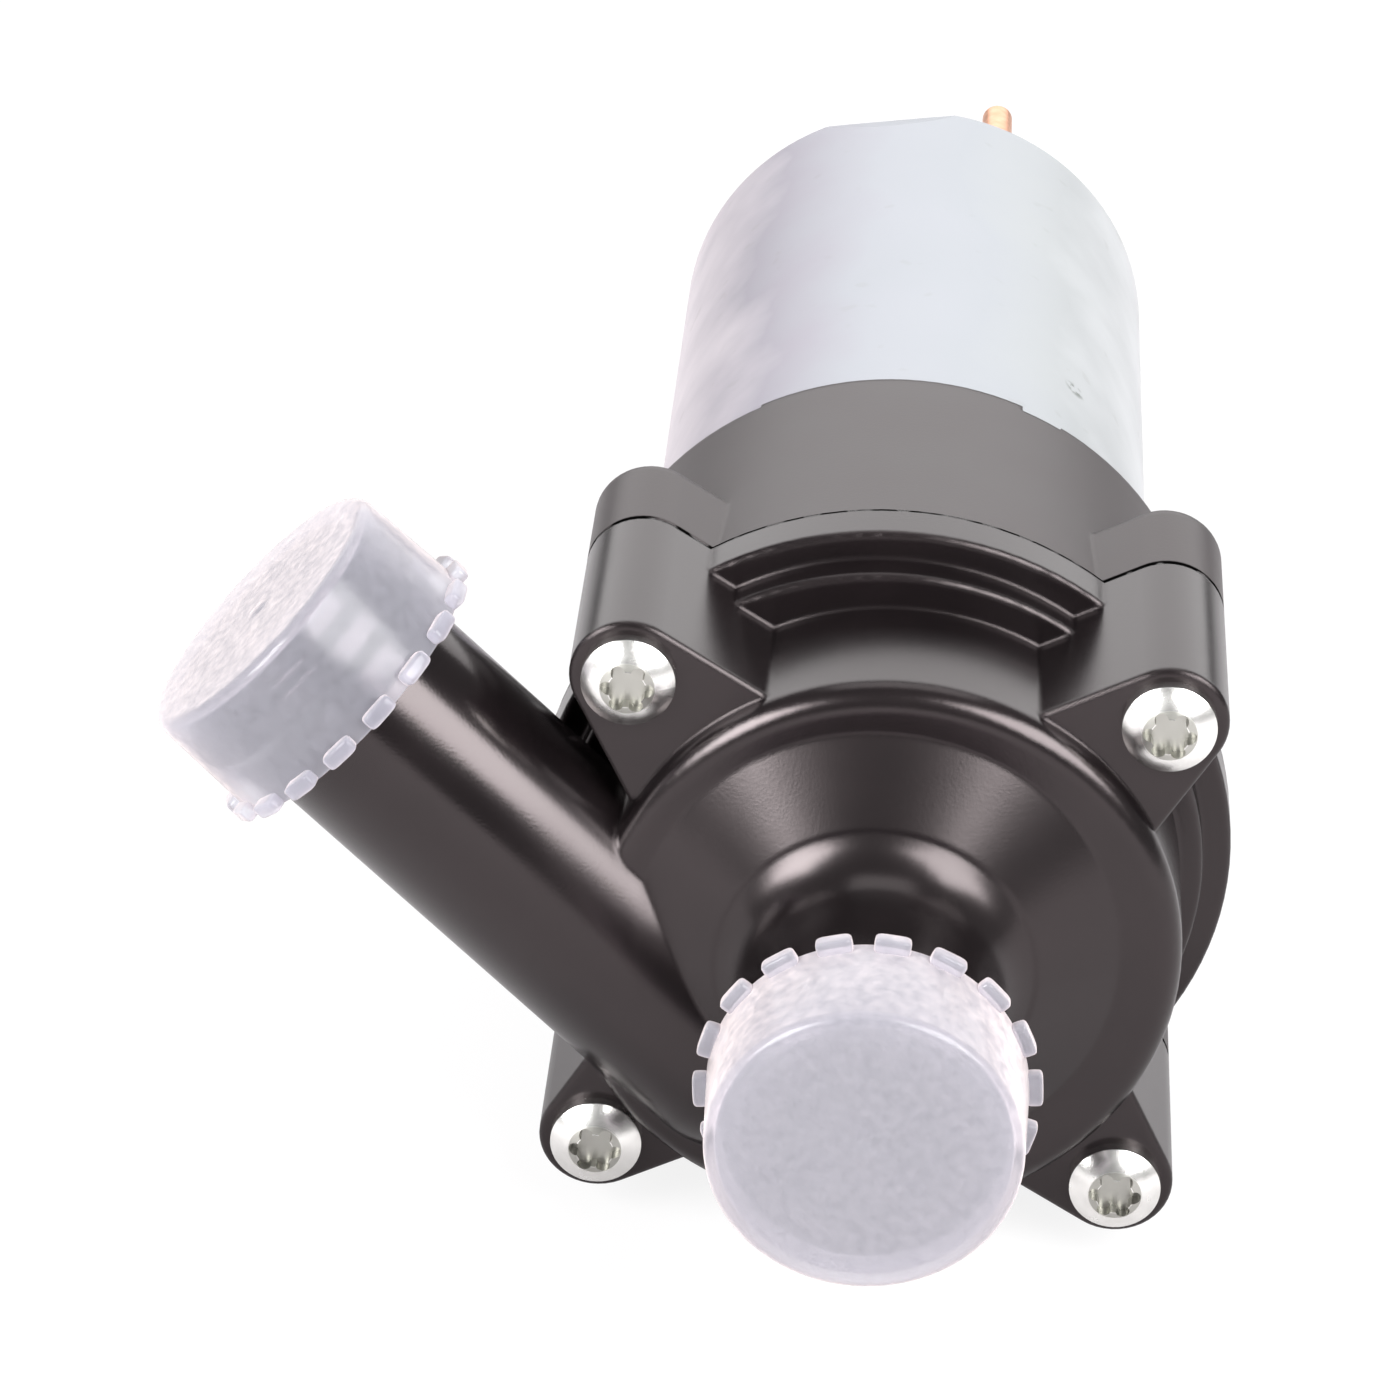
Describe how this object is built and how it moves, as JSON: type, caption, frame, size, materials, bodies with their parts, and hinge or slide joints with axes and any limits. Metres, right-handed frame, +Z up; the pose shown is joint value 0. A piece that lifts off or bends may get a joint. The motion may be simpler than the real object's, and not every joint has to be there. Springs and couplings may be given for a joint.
{
  "type": "auxiliary electric water pump",
  "caption": "Inline electric coolant pump with an axial inlet spigot, a tangential outlet spigot, push-on port caps and a cylindrical brushed motor.",
  "frame": {"origin": "on the pump axis, in the plane where the four casing screws seat", "axes": "-Y out of the inlet, +Y towards the motor, +Z up, +X to the right seen from the inlet; the pump lies on its side"},
  "size_m": [0.0922, 0.1761, 0.0633],
  "materials": {
    "casing_nylon": "satin moulded glass-filled nylon",
    "adapter_nylon": "matte moulded glass-filled nylon",
    "zinc_screw": "bright zinc plating",
    "zinc_steel": "pale blue zinc plating",
    "cap_polythene": "translucent polythene",
    "seal_rubber": "smooth",
    "impeller_plastic": "moulded",
    "ferrite": "ground ferrite",
    "carbon": "pressed carbon",
    "stainless": "ground",
    "ceramic": "fired ceramic",
    "drive_steel": "turned",
    "bronze": "sintered bronze",
    "core_steel": "stamped laminations",
    "copper": "bare copper",
    "washer_plastic": "laminate",
    "holder_plastic": "moulded resin"
  },
  "bodies": {
    "root": {"volute_casing": "casing_nylon", "casing_screws": "zinc_screw", "containment_shell": "casing_nylon", "casing_seal": "seal_rubber", "impeller_axle": "stainless", "axle_clip": "stainless", "thrust_washers": "ceramic", "motor_adapter": "adapter_nylon", "motor_front_plate": "zinc_steel", "mount_screws": "zinc_screw", "front_bearing": "bronze", "rear_bearing": "bronze", "motor_can": "zinc_steel", "field_magnets": "ferrite", "magnet_clips": "stainless", "brush_holder": "holder_plastic", "upper_brush_spring": "stainless", "lower_brush_spring": "stainless", "terminals": "copper", "terminal_grommets": "washer_plastic"},
    "rotor": {"motor_shaft": "stainless", "armature_core": "core_steel", "armature_windings": "copper", "commutator": "copper", "drive_hub": "drive_steel", "drive_magnet": "ferrite", "shaft_washers": "washer_plastic"},
    "impeller": {"impeller": "impeller_plastic", "impeller_magnet": "ferrite", "impeller_bush": "carbon"},
    "inlet_cap": {"inlet_cap": "cap_polythene"},
    "outlet_cap": {"outlet_cap": "cap_polythene"},
    "upper_brush": {"upper_brush": "carbon"},
    "lower_brush": {"lower_brush": "carbon"}
  },
  "joints": [
    {"name": "rotor_spin", "type": "hinge", "parent": "root", "child": "rotor", "pos_m": [0, 0.08, 0], "axis": [0, -1, 0], "continuous": true},
    {"name": "impeller_spin", "type": "hinge", "parent": "root", "child": "impeller", "pos_m": [0, 0.015, 0], "axis": [0, -1, 0], "continuous": true},
    {"name": "inlet_cap_pull", "type": "slide", "parent": "root", "child": "inlet_cap", "axis": [0, -1, 0], "range_m": [0, 0.04]},
    {"name": "outlet_cap_pull", "type": "slide", "parent": "root", "child": "outlet_cap", "axis": [-0.7536, 0, 0.6574], "range_m": [0, 0.04]},
    {"name": "upper_brush_slide", "type": "slide", "parent": "root", "child": "upper_brush", "axis": [0, 0, 1], "range_m": [0, 0.0015], "stiffness_N_per_m": 300, "springref_m": -0.003, "deforming": ["upper_brush_spring"]},
    {"name": "lower_brush_slide", "type": "slide", "parent": "root", "child": "lower_brush", "axis": [0, 0, -1], "range_m": [0, 0.0015], "stiffness_N_per_m": 300, "springref_m": -0.003, "deforming": ["lower_brush_spring"]}
  ],
  "couplings": [
    {"joint": "impeller_spin", "follows": "rotor_spin", "ratio": 1}
  ]
}
